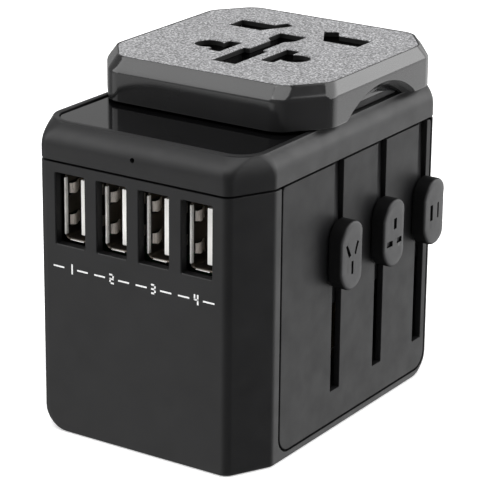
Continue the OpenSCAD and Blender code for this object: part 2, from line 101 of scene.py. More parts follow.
# USB ports
POCKET_W, POCKET_H, POCKET_D = 6.7, 14.0, 6.0
SHELL_T = 0.35                       # sheet of the port shells
SHELL_R = 0.95                       # their corner rounding
SHELL_D = 14                         # how deep they reach in
SPRING_Z = (-3.1, 3.1)               # heights of the leaf springs in a port
SPRING_T, SPRING_HALF = 0.2, 1.05
TONGUE_X = (0.42, 1.62)              # the tongue's faces, from the port's middle
TONGUE_HALF, TONGUE_D = 5.45, 11
PORTS = range(1, 5)

# bars engraved on each knob, the pattern of its plug: y, z, width, height, angle
KNOBS = {
    "aus_knob": [(-1.5, 1.2, 0.7, 2.6, 25), (1.5, 1.2, 0.7, 2.6, -25), (0, -2.4, 0.7, 2.6, 0)],
    "uk_knob": [(0, 1.9, 1.1, 2.2, 0), (-1.8, -1.9, 2.0, 1.1, 0), (1.8, -1.9, 2.0, 1.1, 0)],
    "us_knob": [(-1.3, 0, 0.8, 3.2, 0), (1.3, 0, 0.8, 3.2, 0)],
}

# head
HEAD_CHAMFER_X, HEAD_CHAMFER_Y = 6.6, 8.5
HEAD_R = 4.6
HEAD_WALL_H = 6.3
HEAD_BEVEL_FRONT, HEAD_BEVEL_SIDE, HEAD_BEVEL_CHAMFER = 2.4, 1.2, 1.8
FACE_T = 1.2                         # thickness of the speckled face
FACE_GAP = 0.42
SKIN = 0.28                          # depth of its speckled finish

# ---- outlines and lofts ---------------------------------------------------


def meet(line_a, line_b):
    """Crossing point of two lines, each a point and a direction."""
    (p, d), (q, f) = line_a, line_b
    cross = d.x * f.y - d.y * f.x
    t = ((q.x - p.x) * f.y - (q.y - p.y) * f.x) / cross
    return p + d * t


def outline(corners, insets=0.0, radii=0.0, arc=6):
    """Closed outline of an anticlockwise polygon whose side k is moved in by insets[k].

    Corner k, between sides k - 1 and k, is rounded to radii[k] with arc steps.
    """
    n = len(corners)
    points = [Vector(c) for c in corners]
    insets = list(insets) if hasattr(insets, "__len__") else [insets] * n
    radii = list(radii) if hasattr(radii, "__len__") else [radii] * n
    directions = [(points[(k + 1) % n] - points[k]).normalized() for k in range(n)]
    inward = [Vector((-d.y, d.x)) for d in directions]
    result = []
    for k in range(n):
        before = (k - 1) % n
        radius = max(radii[k], 1e-4)
        centre = meet(
            (points[k] + inward[before] * (insets[before] + radius), directions[before]),
            (points[k] + inward[k] * (insets[k] + radius), directions[k]),
        )
        start = math.atan2(-inward[before].y, -inward[before].x)
        turn = directions[before].angle_signed(directions[k])
        for step in range(arc + 1):
            angle = start - turn * step / arc
            result.append(centre + radius * Vector((math.cos(angle), math.sin(angle))))
    return result


def level(points, z):
    """An outline laid flat at height z."""
    return [(p.x, p.y, z) for p in points]


def facing_front(points, y):
    """An outline drawn in XZ, standing at depth y."""
    return [(p.x, y, p.y) for p in points]


def facing_side(points, x):
    """An outline drawn in YZ, standing at x."""
    return [(x, p.x, p.y) for p in points]


def rectangle(x0, x1, y0, y1):
    return [(x0, y0), (x1, y0), (x1, y1), (x0, y1)]


def turned(width, height, x, y, angle=0):
    """Corners of a rectangle about (x, y), turned by angle degrees."""
    turn = Matrix.Rotation(math.radians(angle), 2)
    return [turn @ Vector(c) + Vector((x, y))
            for c in rectangle(-width / 2, width / 2, -height / 2, height / 2)]


def circle(x, y, radius, count=32):
    return [Vector((x + radius * math.cos(2 * math.pi * k / count),
                    y + radius * math.sin(2 * math.pi * k / count))) for k in range(count)]


def loft(rings, ring_closed=False):
    """Vertices and faces of a skin over equal rings, capped, or joined end to start."""
    count = len(rings[0])
    verts = [p for ring in rings for p in ring]
    faces = []
    spans = len(rings) if ring_closed else len(rings) - 1
    for r in range(spans):
        low = r * count
        high = ((r + 1) % len(rings)) * count
        for k in range(count):
            m = (k + 1) % count
            faces.append((low + k, low + m, high + m, high + k))
    if not ring_closed:
        faces.append(tuple(reversed(range(count))))
        last = (len(rings) - 1) * count
        faces.append(tuple(range(last, last + count)))
    return verts, faces


def join(*parts):
    """One vertex and face list from several."""
    verts, faces = [], []
    for part_verts, part_faces in parts:
        base = len(verts)
        verts.extend(part_verts)
        faces.extend(tuple(i + base for i in f) for f in part_faces)
    return verts, faces


def block(lo, hi, soft=0.0, steps=2):
    """A box with all its upright edges and its top and bottom edges rounded by soft."""
    corners = rectangle(lo[0], hi[0], lo[1], hi[1])
    if soft <= 0:
        return loft([level(outline(corners, 0, 0, 1), z) for z in (lo[2], hi[2])])
    below, above = [], []
    for k in range(steps + 1):
        a = math.radians(90 * k / steps)
        edge = outline(corners, soft * (1 - math.sin(a)), soft, steps)
        below.append(level(edge, lo[2] + soft * (1 - math.cos(a))))
        above.append(level(edge, hi[2] - soft * (1 - math.cos(a))))
    return loft(below + above[::-1])


def to_mesh(name, solid):
    """A mesh in metres from a vertex and face list in millimetres."""
    verts, faces = solid
    mesh = bpy.data.meshes.new(name)
    mesh.from_pydata([(x * MM, y * MM, z * MM) for x, y, z in verts], [], faces)
    bm = bmesh.new()
    bm.from_mesh(mesh)
    bmesh.ops.remove_doubles(bm, verts=bm.verts, dist=1e-7)
    bmesh.ops.recalc_face_normals(bm, faces=bm.faces)
    bm.to_mesh(mesh)
    bm.free()
    return mesh


def new_object(name, solid):
    obj = bpy.data.objects.new(name, to_mesh(name, solid))
    bpy.context.scene.collection.objects.link(obj)
    return obj


def carve(obj, *solids):
    """Cuts each solid out of obj."""
    for number, solid in enumerate(solids):
        tool = new_object(f"{obj.name}_tool_{number}", solid)
        cut = obj.modifiers.new("cut", "BOOLEAN")
        cut.operation = "DIFFERENCE"
        cut.solver = "EXACT"
        cut.use_self = False
        cut.object = tool
        bpy.context.view_layer.update()
        graph = bpy.context.evaluated_depsgraph_get()
        carved = bpy.data.meshes.new_from_object(obj.evaluated_get(graph))
        obj.modifiers.clear()
        old = obj.data
        obj.data = carved
        bpy.data.meshes.remove(old)
        bpy.data.objects.remove(tool)


def shade(obj, angle=32):
    """Smooth shading with sharp edges kept and flat faces kept flat."""
    obj.data.shade_smooth()
    obj.data.set_sharp_from_angle(angle=math.radians(angle))
    weighted = obj.modifiers.new("flat_faces", "WEIGHTED_NORMAL")
    weighted.keep_sharp = True


def piece(name, solid, body, material, stands_for=(), cuts=(), angle=32):
    """Makes a finished piece that rides on a body and may stand for CAD nodes."""
    obj = new_object(name, solid)
    if cuts:
        carve(obj, *cuts)
    obj.data.materials.clear()
    obj.data.materials.append(material)
    shade(obj, angle)
    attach(obj, body)
    if stands_for:
        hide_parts(*([stands_for] if isinstance(stands_for, str) else stands_for))
    return obj


# ---- materials --------------------------------------------------------------


class Shader:
    """A small helper that adds and links shader nodes."""

    def __init__(self, name):
        self.material = bpy.data.materials.new(name)
        self.material.use_nodes = True
        self.tree = self.material.node_tree
        self.bsdf = self.tree.nodes["Principled BSDF"]
        coords = self.tree.nodes.new("ShaderNodeTexCoord")
        self.place = coords.outputs["Object"]
        self.facing = coords.outputs["Normal"]

    def node(self, kind, **values):
        made = self.tree.nodes.new(kind)
        for key, value in values.items():
            setattr(made, key, value)
        return made

    def link(self, source, target):
        self.tree.links.new(source, target)

    def noise(self, scale, detail=2.0, rough=0.5, squash=None):
        made = self.node("ShaderNodeTexNoise")
        made.inputs["Scale"].default_value = scale
        made.inputs["Detail"].default_value = detail
        made.inputs["Roughness"].default_value = rough
        if squash is None:
            self.link(self.place, made.inputs["Vector"])
        else:
            mapping = self.node("ShaderNodeMapping")
            mapping.inputs["Scale"].default_value = squash
            self.link(self.place, mapping.inputs["Vector"])
            self.link(mapping.outputs["Vector"], made.inputs["Vector"])
        return made.outputs["Fac"]

    def spread(self, value, low, high, start=0.3, end=0.7):
        """Maps a noise value to a range of numbers."""
        made = self.node("ShaderNodeMapRange")
        made.inputs["From Min"].default_value = start
        made.inputs["From Max"].default_value = end
        made.inputs["To Min"].default_value = low
        made.inputs["To Max"].default_value = high
        self.link(value, made.inputs["Value"])
        return made.outputs["Result"]

    def ramp(self, value, stops):
        """Maps a value through coloured stops, each (position, grey or RGB)."""
        made = self.node("ShaderNodeValToRGB")
        elements = made.color_ramp.elements
        while len(elements) < len(stops):
            elements.new(0.5)
        for element, (position, colour) in zip(elements, stops):
            rgb = (colour,) * 3 if isinstance(colour, float) else colour
            element.position = position
            element.color = (*rgb, 1)
        self.link(value, made.inputs["Fac"])
        return made.outputs["Color"]

    def mix(self, factor, low, high, **values):
        """Mixes from low to high; each input is a socket, a number or an RGB colour."""
        made = self.node("ShaderNodeMix", data_type="RGBA", **values)
        wanted = ((factor, made.inputs["Factor"]), (low, made.inputs[6]), (high, made.inputs[7]))
        for source, target in wanted:
            if isinstance(source, bpy.types.NodeSocket):
                self.link(source, target)
            elif isinstance(source, tuple):
                target.default_value = (*source, 1)
            else:
                target.default_value = source
        return made.outputs[2]

    def part(self, vector, axis):
        """One coordinate of a vector."""
        made = self.node("ShaderNodeSeparateXYZ")
        self.link(vector, made.inputs["Vector"])
        return made.outputs[axis]

    def bump(self, heights):
        """Chains bumps, each (value, strength, depth in millimetres)."""
        normal = None
        for value, strength, depth in heights:
            made = self.node("ShaderNodeBump")
            made.inputs["Strength"].default_value = strength
            made.inputs["Distance"].default_value = depth * MM
            self.link(value, made.inputs["Height"])
            if normal is not None:
                self.link(normal, made.inputs["Normal"])
            normal = made.outputs["Normal"]
        self.link(normal, self.bsdf.inputs["Normal"])

    def edges(self, radius=0.35):
        """1 on flat ground falling towards 0 on convex and concave edges."""
        bevel = self.node("ShaderNodeBevel", samples=4)
        bevel.inputs["Radius"].default_value = radius * MM
        geometry = self.node("ShaderNodeNewGeometry")
        dot = self.node("ShaderNodeVectorMath", operation="DOT_PRODUCT")
        self.link(bevel.outputs["Normal"], dot.inputs[0])
        self.link(geometry.outputs["Normal"], dot.inputs[1])
        return dot.outputs["Value"]


def mixed(colour, factor):
    return tuple(min(1.0, c * factor) for c in colour)


def moulded(name, colour, rough, grain=0.16, wear=1.25, specular=0.5, side_shade=1.0):
    """Spark-textured moulded plastic; walls not facing +X get painted shade, their colour and specular
    cut to the given share.
    """
    s = Shader(name)
    base = s.ramp(s.noise(90, 3), [(0.3, mixed(colour, 0.88)), (0.7, mixed(colour, 1.12))])
    rubbed = s.node("ShaderNodeMath", operation="MULTIPLY")
    s.link(s.spread(s.edges(), 1.0, 0.0, 0.93, 0.995), rubbed.inputs[0])
    s.link(s.spread(s.noise(400, 4), 0.0, 1.0, 0.42, 0.62), rubbed.inputs[1])
    base = s.mix(rubbed.outputs[0], base, mixed(colour, wear))
    s.bsdf.inputs["Specular IOR Level"].default_value = specular
    # painted shade: walls turned away from +X are made darker and less specular
    if side_shade < 1.0:
        outward = s.part(s.facing, "X")
        base = s.mix(s.spread(outward, 0.0, 1.0, 0.3, 0.9), mixed(colour, side_shade), base)
        s.link(s.spread(outward, specular * side_shade, specular, 0.3, 0.9),
               s.bsdf.inputs["Specular IOR Level"])
    s.link(base, s.bsdf.inputs["Base Color"])
    s.link(s.spread(s.noise(260, 3), rough - 0.04, rough + 0.05), s.bsdf.inputs["Roughness"])
    s.bump([(s.noise(1 / (grain * MM), 2, 0.6), 0.5, 0.012)])
    return s.material


def polished(name, colour, rough):
    """Piano-gloss plastic with a little orange peel and hairline marks."""
    s = Shader(name)
    base = s.ramp(s.noise(70, 2), [(0.3, mixed(colour, 0.85)), (0.7, mixed(colour, 1.15))])
    s.link(base, s.bsdf.inputs["Base Color"])
    hairs = s.noise(900, 2, 0.5, squash=(1, 0.05, 1))
    s.link(s.spread(hairs, rough, rough * 1.35, 0.5, 0.8), s.bsdf.inputs["Roughness"])
    s.bump([(s.noise(140, 1), 0.1, 0.008)])
    return s.material


def speckled(name, colour, top):
    """Coarse spark finish with light and dark grains; black below the skin at height top."""
    s = Shader(name)
    grain = s.noise(2300, 2, 0.75)
    base = s.ramp(grain, [(0.32, mixed(colour, 0.2)), (0.46, mixed(colour, 0.75)),
                          (0.55, mixed(colour, 1.15)), (0.68, mixed(colour, 2.5))])
    tint = s.ramp(s.noise(60, 2), [(0.3, 0.93), (0.7, 1.0)])
    base = s.mix(1.0, base, tint, blend_type="MULTIPLY")
    below = s.node("ShaderNodeMath", operation="LESS_THAN")
    below.inputs[1].default_value = (top - SKIN) * MM
    s.link(s.part(s.place, "Z"), below.inputs[0])
    s.link(s.mix(below.outputs[0], base, (0.006, 0.006, 0.006)), s.bsdf.inputs["Base Color"])
    s.link(s.spread(grain, 0.62, 0.42), s.bsdf.inputs["Roughness"])
    s.bump([(grain, 0.7, 0.06)])
    return s.material


def metal(name, colour, rough, metallic=1.0):
    """Drawn or plated metal with fine upright lines."""
    s = Shader(name)
    lines = s.noise(5000, 3, 0.6, squash=(1, 1, 0.04))
    base = s.ramp(s.noise(300, 4), [(0.35, mixed(colour, 0.85)), (0.65, colour)])
    s.link(base, s.bsdf.inputs["Base Color"])
    s.bsdf.inputs["Metallic"].default_value = metallic
    s.link(s.spread(lines, rough * 0.8, rough * 1.25), s.bsdf.inputs["Roughness"])
    s.bump([(lines, 0.25, 0.004)])
    return s.material


def printed(name, colour):
    """Pad-printed ink, slightly uneven."""
    s = Shader(name)
    ink = s.ramp(s.noise(2500, 3), [(0.35, mixed(colour, 0.86)), (0.6, colour)])
    s.link(ink, s.bsdf.inputs["Base Color"])
    s.bsdf.inputs["Roughness"].default_value = 0.5
    return s.material


BLACK = moulded("satin_black", (0.0085, 0.0085, 0.009), 0.42, specular=0.3)
BLACK_PANEL = moulded("panel_black", (0.0075, 0.0075, 0.008), 0.45, specular=0.2)
# painted shade on the knobs: their walls not facing +X are darkened
KNOB_BLACK = moulded("knob_black", (0.024, 0.024, 0.025), 0.45, specular=0.34, side_shade=0.22)
INNER_BLACK = moulded("inner_black", (0.006, 0.006, 0.0065), 0.5, grain=0.3, specular=0.2)
GLOSS = polished("gloss_black", (0.003, 0.003, 0.0032), 0.07)
HEAD_GLOSS = polished("head_black", (0.016, 0.016, 0.0164), 0.12)
SPECKLE = speckled("speckled_grey", (0.25, 0.25, 0.256), HEAD_HI[2])
SHELL_STEEL = metal("shell_nickel", (0.92, 0.91, 0.88), 0.3, metallic=0.45)
# painted shade: the port shells' nickel is given a dark colour because their insides lie in shade
SHELL_PAINTED_SHADE = metal("shell_painted_shade", (0.15, 0.13, 0.11), 0.42)
SPRING_STEEL = metal("spring_nickel", (0.78, 0.72, 0.66), 0.3, metallic=0.55)
SCREW_STEEL = metal("screw_zinc", (0.56, 0.57, 0.6), 0.3)
PIN_NICKEL = metal("pin_nickel", (0.76, 0.75, 0.72), 0.18)
BRASS = metal("brass", (0.80, 0.60, 0.27), 0.24)
GOLD = metal("contact_gold", (0.90, 0.68, 0.32), 0.2)
TONGUE = moulded("tongue_white", (0.90, 0.89, 0.86), 0.35, grain=0.3, wear=1.02)
BOARD = moulded("board_green", (0.02, 0.13, 0.05), 0.3, grain=0.4)
TAPE = moulded("tape_amber", (0.60, 0.36, 0.04), 0.3, grain=0.5)
SLEEVE = moulded("sleeve_blue", (0.02, 0.035, 0.12), 0.25, grain=0.6)
LENS = moulded("lens_clear", (0.75, 0.76, 0.78), 0.12, grain=0.5)
CERAMIC = moulded("ceramic_white", (0.78, 0.77, 0.72), 0.2, grain=0.5)
INK = printed("ink_white", (0.80, 0.80, 0.80))

# ---- casings ------------------------------------------------------------

BODY = [
    (-HALF_W + CHAMFER_X, -HALF_D), (HALF_W - CHAMFER_X, -HALF_D),
    (HALF_W, -HALF_D + CHAMFER_Y), (HALF_W, HALF_D - CHAMFER_REAR),
    (HALF_W - CHAMFER_REAR, HALF_D), (-HALF_W + CHAMFER_REAR, HALF_D),
    (-HALF_W, HALF_D - CHAMFER_REAR), (-HALF_W, -HALF_D + CHAMFER_Y),
]
BODY_ARC = 8                         # steps in each rounded corner


def rounding(radius, z):
    """How far a rounded lower edge is drawn in at height z above its foot."""
    return radius - math.sqrt(radius ** 2 - max(0.0, radius - z) ** 2)


def body_ring(z, inset=0.0, corner=0.0, radius=PLAN_R):
    """Ring of the lower casing; corner moves the two large-radius corners in."""
    insets = [inset, inset, inset, max(inset, corner)] * 2
    return level(outline(BODY, insets, radius, BODY_ARC), z)


def upper_ring(z, share, extra=0.0):
    """Ring of the upper casing at a share of its full draw-in, moved in by extra."""
    front = RIM_FRONT * share + extra
    side = RIM_SIDE * share + extra
    chamfer = RIM_CHAMFER * share + extra
    radius = PLAN_R + (RIM_R - PLAN_R) * share - extra
    return level(outline(BODY, [front, chamfer, side, chamfer] * 2, max(radius, 0.4), BODY_ARC), z)


def panel_outline(gap, top):
    """Side panel's recess in YZ, moved in by gap: large lower corners, small upper ones."""
    corners = rectangle(PANEL_LO[1] - RECESS_GAP, PANEL_HI[1] + RECESS_GAP, PANEL_LO[2] - RECESS_GAP, top)
    lower = PANEL_R - gap
    return outline(corners, gap, [lower, lower, PANEL_TOP_R, PANEL_TOP_R], 8)


def pocket_cut(i):
    """Cutter of one USB pocket, with a softened mouth."""
    x, _, z = middle(f"usb_shell_{i}")
    corners = turned(POCKET_W, POCKET_H, x, z)
    stations = [(-1.0, 0.22), (0.0, 0.22), (0.05, 0.1), (0.2, 0.0), (POCKET_D, 0.0)]
    return loft([facing_front(outline(corners, -flare, 0.35, 3), -HALF_D + depth)
                 for depth, flare in stations])


def lower_casing():
    """Open-topped box with the USB pockets, the panel's recess and the pin opening."""
    rings = []
    heights = [FOOT_R * (1 - math.cos(math.radians(a))) for a in range(0, 91, 15)]
    heights += [1.3, 2.0, 2.8, 3.6, CORNER_R]
    for z in heights:
        rings.append(body_ring(z, rounding(FOOT_R, z), rounding(CORNER_R, z)))
    groove = SEAM - SEAM_GAP
    rings += [body_ring(groove - dz, draw) for dz, draw in SEAM_SOFT]
    rings += [body_ring(groove, SEAM_DEPTH), body_ring(SEAM, SEAM_DEPTH), body_ring(SEAM, WALL)]
    for share in (1.0, 0.6, 0.35, 0.18, 0.08, 0.02, 0.0):
        z = CORNER_R * share
        rings.append(body_ring(WALL + z, WALL, rounding(CORNER_R, z)))
    pockets = [pocket_cut(i) for i in PORTS]
    depth = PANEL_HI[0] - PANEL_LO[0]
    stations = [(-2.0, -0.14), (0.0, -0.14), (0.05, -0.05), (0.18, 0.0), (depth + 0.05, 0.0)]
    recess = loft([facing_side(panel_outline(gap, SEAM + 3), HALF_W - x) for x, gap in stations])
    behind = block((HALF_W - 6, PANEL_LO[1] + 1, PANEL_LO[2] + 3.2),
                   (HALF_W + 2, PANEL_HI[1] - 1, SEAM + 3))
    pins = loft([level(outline(rectangle(*PIN_WINDOW), 0, 0, 1), z) for z in (-2, WALL + 1)])
    screws = [loft([level(circle(x, SCREW_Y, SCREW_HOLE_R, 24), z) for z in (-1, 5)])
              for x in (-SCREW_X, SCREW_X)]
    return piece("casing_lower", loft(rings), "base", BLACK, "lower_casing",
                 [*pockets, recess, behind, pins, *screws])


def upper_casing():
    """Hollow cover above the seam, with its rim, the plate's seat and the light's hole."""
    groove = SEAM + SEAM_GAP
    rings = [upper_ring(SEAM, 0, WALL + 0.8), upper_ring(SEAM, 0, SEAM_DEPTH),
             upper_ring(groove, 0, SEAM_DEPTH)]
    rings += [upper_ring(groove + dz, 0, draw) for dz, draw in reversed(SEAM_SOFT)]
    # the wall stays upright at first and then curves in to the rim
    start, end, power, steps = 0.3, 0.965, 2.6, 12
    for k in range(steps + 1):
        share = k / steps
        z = SEAM + (RIM - SEAM) * (start + (end - start) * share)
        rings.append(upper_ring(z, 0.97 * share ** power))
    rings += [
        upper_ring(RIM - 0.09, 0.99), upper_ring(RIM - 0.02, 1.0, 0.1), upper_ring(RIM, 1.0, 0.28),
        upper_ring(RIM, 1.0, RIM_LIP - 0.28), upper_ring(RIM - 0.04, 1.0, RIM_LIP - 0.1),
        upper_ring(RIM - 0.15, 1.0, RIM_LIP), upper_ring(LEDGE_Z1, 1.0, RIM_LIP),
        upper_ring(LEDGE_Z1, 1.0, RIM_LIP + LEDGE_W), upper_ring(LEDGE_Z0, 1.0, RIM_LIP + LEDGE_W),
        upper_ring(LEDGE_Z0, 1.0, 1.6),
    ]
    stations = [(-1.0, LED_R + 0.09), (-0.02, LED_R + 0.09), (0.15, LED_R), (3.0, LED_R)]
    hole = loft([facing_front(circle(0, SEAM + LED_RISE, r, 20), -HALF_D + y) for y, r in stations])
    return piece("casing_upper", loft(rings, True), "base", BLACK, "upper_casing", [hole])


def top_plate():
    """Glossy plate inside the rim, with two holes for the head's round pins."""
    z = RIM - PLATE_DROP
    rings = [upper_ring(z - dz, 1.0, RIM_LIP + PLATE_GAP + draw)
             for dz, draw in ((PLATE_T, 0.0), (0.08, 0.0), (0.02, 0.03), (0.0, 0.1))]
    cuts = []
    for name in ("eu_pin_live", "eu_pin_neutral"):
        x, y, _ = middle(name)
        stations = [(-3.0, 0.0), (-0.2, 0.0), (0.0, 0.25), (1.0, 0.25)]
        cuts.append(loft([level(circle(x, y, SLEEVE_HOLE_R + flare, 40), z + dz)
                          for dz, flare in stations]))
    return piece("plate_top", loft(rings), "base", GLOSS, "top_plate", cuts)


def side_panel():
    """Panel let into the right face, with three long slots."""
    outer, inner = PANEL_HI[0], PANEL_LO[0]
    top = SEAM - SEAM_GAP + PANEL_GAP
    stations = [(inner, 0.0), (outer - 0.2, 0.0), (outer - 0.06, 0.04), (outer, 0.17)]
    rings = [facing_side(panel_outline(PANEL_GAP + draw, top), x) for x, draw in stations]
    flares = [(outer + 1, 0.14), (outer, 0.14), (outer - 0.05, 0.05), (outer - 0.16, 0), (inner - 1, 0)]
    cuts = []
    for name in KNOBS:
        y = middle(name)[1]
        corners = rectangle(y - SLOT_W / 2, y + SLOT_W / 2, SLOT_Z, SEAM + 5)
        cuts.append(loft([facing_side(outline(corners, -flare, 0.2, 2), x) for x, flare in flares]))
    return piece("panel_side", loft(rings), "base", BLACK_PANEL, "side_panel", cuts)


# ---- USB ports ------------------------------------------------------------


def usb_port(i):
    """One receptacle: a tube with windows, its nickel darkened as painted shade, bright lips, leaf
    springs and a tongue.
    """
    x, _, z = middle(f"usb_shell_{i}")
    lo, hi = mm_box(f"usb_shell_{i}")
    y0 = lo[1]
    half_w, half_h = (hi[0] - lo[0]) / 2, (hi[2] - lo[2]) / 2
    corners = rectangle(x - half_w, x + half_w, z - half_h, z + half_h)
    stations = [(SHELL_D, 0.0), (0.5, 0.0), (0.3, 0.06), (0.26, 0.2), (0.4, SHELL_T), (SHELL_D, SHELL_T)]
    rings = [facing_front(outline(corners, inset, SHELL_R - inset, 6), y0 + y) for y, inset in stations]
    windows = [block((x - 4, y0 + 0.9, z + dz - 1.4), (x + 4, y0 + 4.6, z + dz + 1.4), 0.2)
               for dz in SPRING_Z]
    piece(f"port_shell_{i}", loft(rings, True), "base", SHELL_PAINTED_SHADE, f"usb_shell_{i}", windows)
    lips = [side_lip(x, y0, z, side, half_w, half_h) for side in (-1, 1)]
    lips += [end_lip(x, y0, z, end, half_w, half_h) for end in (-1, 1)]
    piece(f"port_lips_{i}", join(*lips), "base", SHELL_STEEL, angle=40)
    leaves = [leaf_spring(x, y0, z + dz, side, half_w) for side in (-1, 1) for dz in SPRING_Z]
    piece(f"port_springs_{i}", join(*leaves), "base", SPRING_STEEL, angle=40)
    usb_tongue(i, x, z)


def lip_path(thick):
    """Section of a rolled sheet edge: points (depth from the front, depth from the outside)."""
    return [(0.75, 0.02), (0.2, 0.02), (0.04, 0.06), (0.0, thick / 2), (0.04, thick - 0.08),
            (0.2, thick), (0.75, thick - 0.02)]


def side_lip(x, y0, z, side, half_w, half_h):
    """The rolled front edge along one side of a port's shell, clear of the corners."""
    half = half_h - 1.05
    return loft([[(x + side * (half_w - depth), y0 + y, z + dz) for y, depth in lip_path(0.44)]
                 for dz in (-half, half)])


def end_lip(x, y0, z, end, half_w, half_h):
    """The thinner front edge along the top or bottom of a port's shell."""
    half = half_w - 1.35
    return loft([[(x + dx, y0 + y, z + end * (half_h - depth)) for y, depth in lip_path(0.26)]
                 for dx in (-half, half)])


def leaf_spring(x, y0, z, side, half_w):
    """A leaf that starts in the shell's wall, bows into the port and turns back at its tip."""
    path = [(4.8, 0.10), (4.4, 0.16), (3.9, 0.36), (3.4, 0.64), (3.0, 0.85), (2.6, 0.92), (2.2, 0.85),
            (1.9, 0.66), (1.7, 0.44), (1.6, 0.32)]
    tip = 7                          # first point of the narrower tip
    rings = []
    for k, (dy, depth) in enumerate(path):
        wide = SPRING_HALF * (1.0 if k < tip else 0.92)
        inner = x + side * (half_w - depth)
        outer = inner + side * SPRING_T
        section = ((inner, -wide), (inner, wide), (outer, wide), (outer, -wide))
        rings.append([(px, y0 + dy, z + dz) for px, dz in section])
    return loft(rings)


def usb_tongue(i, x, z):
    """Plastic tongue of a port and the block that holds it."""
    lo, hi = mm_box(f"usb_tongue_{i}")
    tongue = join(
        block((x + TONGUE_X[0], lo[1], z - TONGUE_HALF),
              (x + TONGUE_X[1], lo[1] + TONGUE_D, z + TONGUE_HALF), 0.14),
        block((x - 2.2, hi[1] - 2.6, z - 6), (x + 2.2, hi[1], z + 6), 0.15),
    )
    return piece(f"port_tongue_{i}", tongue, "base", TONGUE, f"usb_tongue_{i}")


# ---- sliders --------------------------------------------------------------


def stadium(y, z, width, height, inset=0.0):
    """Upright outline with round ends."""
    return outline(turned(width, height, y, z), inset, width / 2 - inset - 0.02, 12)


def knob(name, body):
    """Slider knob with a softened rim, a shallow thumb dish and its engraved marks."""
    lo, hi = mm_box(name)
    _, y, z = middle(name)
    width, height = hi[1] - lo[1], hi[2] - lo[2]
    under, face = HALF_W + 0.3, hi[0]
    stations = [(under, 0.15), (under + 0.15, 0.0), (face - 0.55, 0.0), (face - 0.28, 0.08),
                (face - 0.1, 0.25), (face, 0.55), (face, 1.46), (face, 2.37)]
    rings = [[(px - dish(px, pz, face, z, height), py, pz)
              for px, py, pz in facing_side(stadium(y, z, width, height, inset), x)]
             for x, inset in stations]
    neck = block((lo[0], y - 1.3, z - 5.2), (under + 0.5, y + 1.3, z + 5.2), 0.15)
    marks = [mark_cut(face, y + dy, z + dz, w, h, a) for dy, dz, w, h, a in KNOBS[name]]
    return piece(f"{name}_cap", join(loft(rings), neck), body, KNOB_BLACK, name, marks, 40)


def dish(px, pz, face, z, height):
    """How far the knob's face is hollowed at height pz."""
    if px < face - 0.6:
        return 0.0
    share = (pz - z) / (height / 2)
    return 0.42 * max(0.0, 1 - (share / 0.75) ** 2)


def mark_cut(face, y, z, width, height, angle):
    """Cutter of one engraved bar, turned by angle degrees."""
    edge = outline(turned(width, height, y, z, angle), 0, 0.12, 3)
    return loft([facing_side(edge, x) for x in (face - 0.75, face + 1)])


# ---- head -------------------------------------------------------------------

HEAD_HALF = HEAD_HI[0]
HEAD_FRONT, HEAD_REAR = HEAD_LO[1], HEAD_HI[1]
HEAD_Z0, HEAD_Z2 = HEAD_LO[2], HEAD_HI[2]
HEAD_Z1 = HEAD_Z0 + HEAD_WALL_H
HEAD = [
    (-HEAD_HALF + HEAD_CHAMFER_X, HEAD_FRONT), (HEAD_HALF - HEAD_CHAMFER_X, HEAD_FRONT),
    (HEAD_HALF, HEAD_FRONT + HEAD_CHAMFER_Y), (HEAD_HALF, HEAD_REAR - HEAD_CHAMFER_Y),
    (HEAD_HALF - HEAD_CHAMFER_X, HEAD_REAR), (-HEAD_HALF + HEAD_CHAMFER_X, HEAD_REAR),
    (-HEAD_HALF, HEAD_REAR - HEAD_CHAMFER_Y), (-HEAD_HALF, HEAD_FRONT + HEAD_CHAMFER_Y),
]


def head_ring(z, share=0.0, extra=0.0):
    """Ring of the head at a share of its bevel's draw-in, moved in by extra."""
    front = HEAD_BEVEL_FRONT * share + extra
    side = HEAD_BEVEL_SIDE * share + extra
    chamfer = HEAD_BEVEL_CHAMFER * share + extra
    insets = [front, chamfer, side, chamfer] * 2
    return level(outline(HEAD, insets, [max(0.3, HEAD_R - extra)] * 8, 12), z)


def socket_cuts(z0, z1, grow=0.0, flare=0.0):
    """Cutters of the socket's openings, grown by grow and flared at the top."""
    shapes = []
    for s in (-1, 1):
        shapes.append(rectangle(s * 11.2 - 4, s * 11.2 + 4, 17.7, 23.3))   # British live and neutral
        shapes.append(turned(3.0, 8.0, s * 6.75, 21.7, s * 30))            # Australian blades
    shapes += [
        rectangle(-3.15, 3.15, 15.2, 18.6), rectangle(-2.8, 2.8, -6.6, 5.1),       # earth pins
        rectangle(-1.55, 1.55, 4.9, 12.9),                                         # Australian earth
        rectangle(-8.0, -4.8, -0.6, 7.7), rectangle(4.8, 8.0, -1.5, 8.6),          # American blades
    ]
    rounds = [(0, 15.2, 3.15), (9.9, 3.55, 2.9), (-9.9, 3.55, 2.9)]
    levels = [(z0, 0.0), (z1 - flare, 0.0), (z1, flare), (z1 + 1, flare)]
    cuts = [loft([level(outline(corners, -grow - f, 0.25, 3), z) for z, f in levels])
            for corners in shapes]
    cuts += [loft([level(circle(x, y, r + grow + f, 40), z) for z, f in levels]) for x, y, r in rounds]
    return cuts


